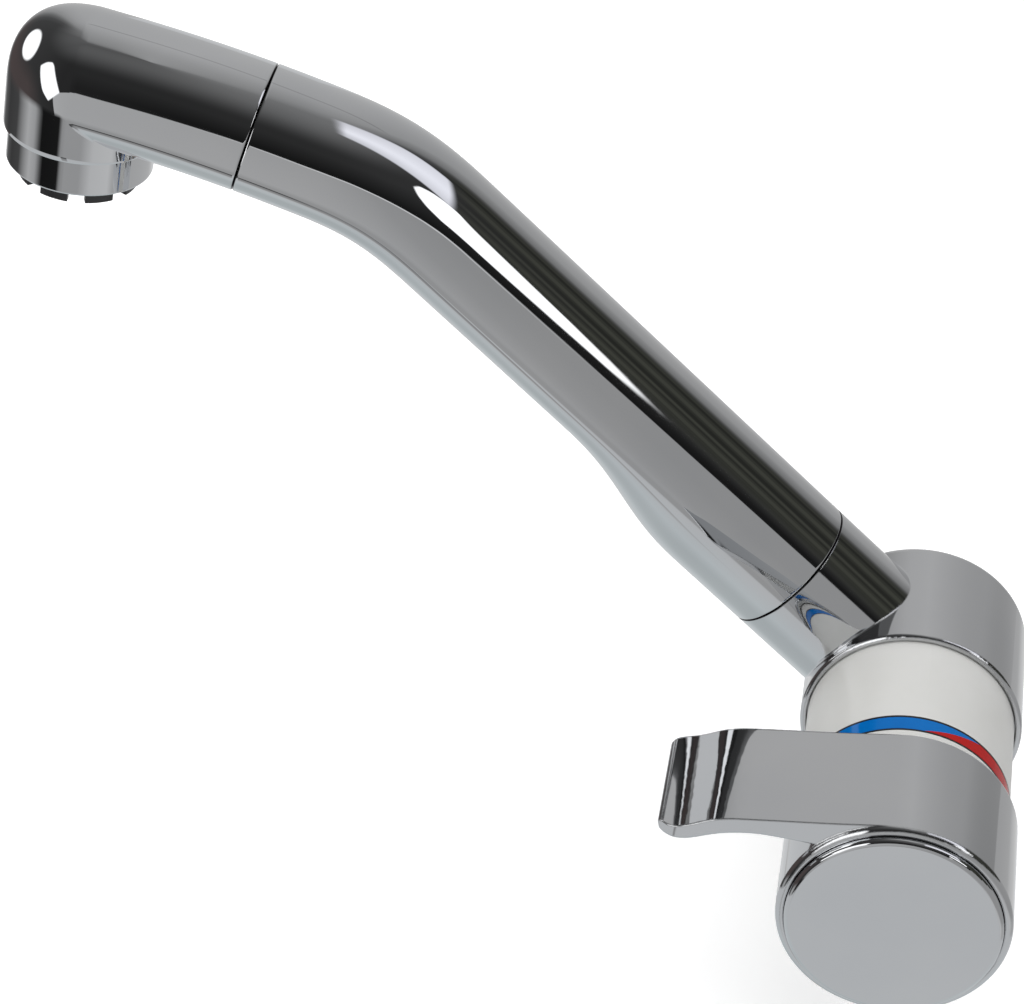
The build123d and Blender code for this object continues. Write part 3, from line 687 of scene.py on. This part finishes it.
low_dark = calc(wt, "MULTIPLY", low_dark, spread(wt, el_n, 1.0, 0.0, (24 + 90) / 180, (44 + 90) / 180))
above = mix(wt, low_dark, above, (0.014, 0.014, 0.014))
warm = calc(wt, "MULTIPLY", spread(wt, az_n, 0.0, 1.0, 20 / 360, 50 / 360), spread(wt, az_n, 1.0, 0.0, 105 / 360, 130 / 360))
warm = calc(wt, "MULTIPLY", warm, spread(wt, el_n, 1.0, 0.0, (-12 + 90) / 180, (12 + 90) / 180))
above = mix(wt, warm, above, (0.100, 0.080, 0.078))
zenith = ramp_values(az_n, [(-180, 0.47), (-150, 0.33), (-120, 0.16), (-60, 0.13), (0, 0.16), (30, 0.20), (120, 0.26),
                            (150, 0.38), (180, 0.47)], -180, 180)
above = mix(wt, step(el_n, (50 + 90) / 180, (82 + 90) / 180), above, zenith)
thin = spread(wt, calc(wt, "ABSOLUTE", calc(wt, "SUBTRACT", el_n, (54 + 90) / 180)), 0.28, 0.0, 0.4 / 180, 1.1 / 180)
far_side = calc(wt, "MAXIMUM", step(az_n, 322 / 360, 332 / 360), spread(wt, az_n, 1.0, 0.0, 8 / 360, 14 / 360))
above = mix(wt, calc(wt, "MULTIPLY", thin, far_side), above, (0.0, 0.0, 0.0))
below_far = ramp_values(az_n, [(-180, 0.88), (-150, 0.74), (-90, 0.70), (-30, 0.62), (-4, 0.55), (5, 0.50), (14, 0.45), (30, 0.42),
                               (60, 0.42), (120, 0.44), (150, 0.50), (165, 0.62), (180, 0.88)], -180, 180)
near = ramp(wt, el_n, [(0.0, (0.58, 0.62, 0.63)), ((-72 + 90) / 180, (0.60, 0.645, 0.655)), ((-60 + 90) / 180, (0.70, 0.745, 0.76)),
                       ((-38 + 90) / 180, (0.695, 0.705, 0.715))])
below = mix(wt, step(el_n, (-38 + 90) / 180, (-20 + 90) / 180), near, below_far)
# low props around the table: a band just under the horizon that upright surfaces mirror
band = ramp_values(az_n, [(-180, 0.85), (-160, 0.80), (-153, 0.62), (-147, 0.33), (-141, 0.13), (-122, 0.06), (-98, 0.08), (-85, 0.36), (-73, 0.60),
                          (-61, 0.50), (-52, 0.12), (-48, 0.012), (-22, 0.015), (-17, 0.40), (-12, 0.46), (12, 0.46),
                          (30, 0.70), (58, 0.74), (68, 0.53), (150, 0.60), (180, 0.85)], -180, 180)
sky = mix(wt, step(calc(wt, "SUBTRACT", el_n, edge), -0.002, 0.002), below, above)
in_band = calc(wt, "MULTIPLY", step(el_n, (-34.5 + 90) / 180, (-32 + 90) / 180), spread(wt, el_n, 1.0, 0.0, (-27.5 + 90) / 180, (-22 + 90) / 180))
sky = mix(wt, in_band, sky, band)
rim = spread(wt, calc(wt, "ABSOLUTE", calc(wt, "SUBTRACT", el_n, edge)), 1.0, 0.0, 0.0015, 0.0045)
rim = calc(wt, "MULTIPLY", rim, step(az_n, 172 / 360, 186 / 360))
rim = calc(wt, "MULTIPLY", rim, spread(wt, az_n, 1.0, 0.0, 216 / 360, 225 / 360))
sky = mix(wt, rim, sky, (0.95, 0.95, 0.95))
box_fac = calc(wt, "MULTIPLY", step(az_n, 246 / 360, 278 / 360), spread(wt, az_n, 1.0, 0.0, 278 / 360, 318 / 360))
box_glow = mix(wt, box_fac, (0.98, 0.98, 1.05), (1.34, 1.34, 1.43))
for mask, col in (
        (disc(-101, 21, 18.5), (1.9, 1.9, 1.9)),
        (polygon([(-59, 25), (-52, 37), (-44, 42), (-34, 38), (-24, 20), (-18.5, 10), (-30, -4), (-37, -11), (-46, -3)]),
         (1.9, 1.9, 1.9)),
        (polygon([(74.5, 42.5), (61, 75), (139, 72), (126, 53), (119, 42.5)], 0.022), box_glow),
        (polygon([(45.3, 36), (46, 31.6), (50, 29.5), (57, 29.7), (63, 31.4), (69, 34.7), (75.5, 41), (74, 44), (70, 47), (62, 49),
                  (54, 47.5), (48, 42)], 0.010), (1.9, 1.9, 1.9))):
    sky = mix(wt, mask, sky, col)
path = wt.nodes.new("ShaderNodeLightPath")
crease = ramp(wt, el_n, [((el + 90) / 180, (v, v, v)) for el, v in ((-50, 0.60), (-45, 0.48), (-41, 0.38), (-37, 0.33), (-35, 0.13),
                                                                    (-32, 0.05))])
at_crease = calc(wt, "MULTIPLY", step(az_n, 162 / 360, 164.5 / 360), spread(wt, az_n, 1.0, 0.0, 171.5 / 360, 173 / 360))
at_crease = calc(wt, "MULTIPLY", at_crease, step(el_n, (-50 + 90) / 180, (-45 + 90) / 180))
at_crease = calc(wt, "MULTIPLY", at_crease, spread(wt, el_n, 1.0, 0.0, (-32 + 90) / 180, (-31 + 90) / 180))
sky = mix(wt, at_crease, sky, crease)
later = step(path.outputs["Ray Depth"], 2.4, 2.6)
beside = calc(wt, "MULTIPLY", step(az_n, 155 / 360, 160 / 360), spread(wt, az_n, 1.0, 0.0, 222 / 360, 228 / 360))
beside = calc(wt, "MULTIPLY", beside, step(el_n, (8 + 90) / 180, (10 + 90) / 180))
beside = calc(wt, "MULTIPLY", beside, spread(wt, el_n, 1.0, 0.0, (27 + 90) / 180, (30 + 90) / 180))
sky = mix(wt, calc(wt, "MULTIPLY", later, beside), sky, (0.50, 0.51, 0.52))
over = step(el_n, (42 + 90) / 180, (50 + 90) / 180)
sky = mix(wt, calc(wt, "MULTIPLY", later, over), sky, mix(wt, 0.55, zenith, (0.0, 0.0, 0.0)))
under = spread(wt, el_n, 1.0, 0.0, (-36 + 90) / 180, (-31 + 90) / 180)
sky = mix(wt, calc(wt, "MULTIPLY", later, under), sky, (0.86, 0.87, 0.88))
wt.links.new(mix(wt, path.outputs["Is Camera Ray"], sky, (1.0, 1.0, 1.0)), w_bg.inputs["Color"])
w_bg.inputs["Strength"].default_value = 1.0
world.cycles.sampling_method = "AUTOMATIC"


def area(name, place_at, target, size, power, shape="RECTANGLE", size_y=None):
    li = bpy.data.lights.new(name, "AREA")
    li.shape = shape
    li.size = size
    if size_y:
        li.size_y = size_y
    li.energy = power
    ob = bpy.data.objects.new(name, li)
    ob.location = place_at
    ob.rotation_euler = (Vector(target) - Vector(place_at)).to_track_quat("-Z", "Y").to_euler()
    ob.visible_glossy = False
    ob.visible_camera = False
    scene.collection.objects.link(ob)
    return ob


area("top_soft", (0.0, -0.1, 1.3), (0, -0.08, 0), 2.4, 17.0, size_y=2.4)
area("front_soft", (1.4, -0.6, 0.9), (0, -0.05, 0.05), 1.2, 3.0, size_y=1.0)
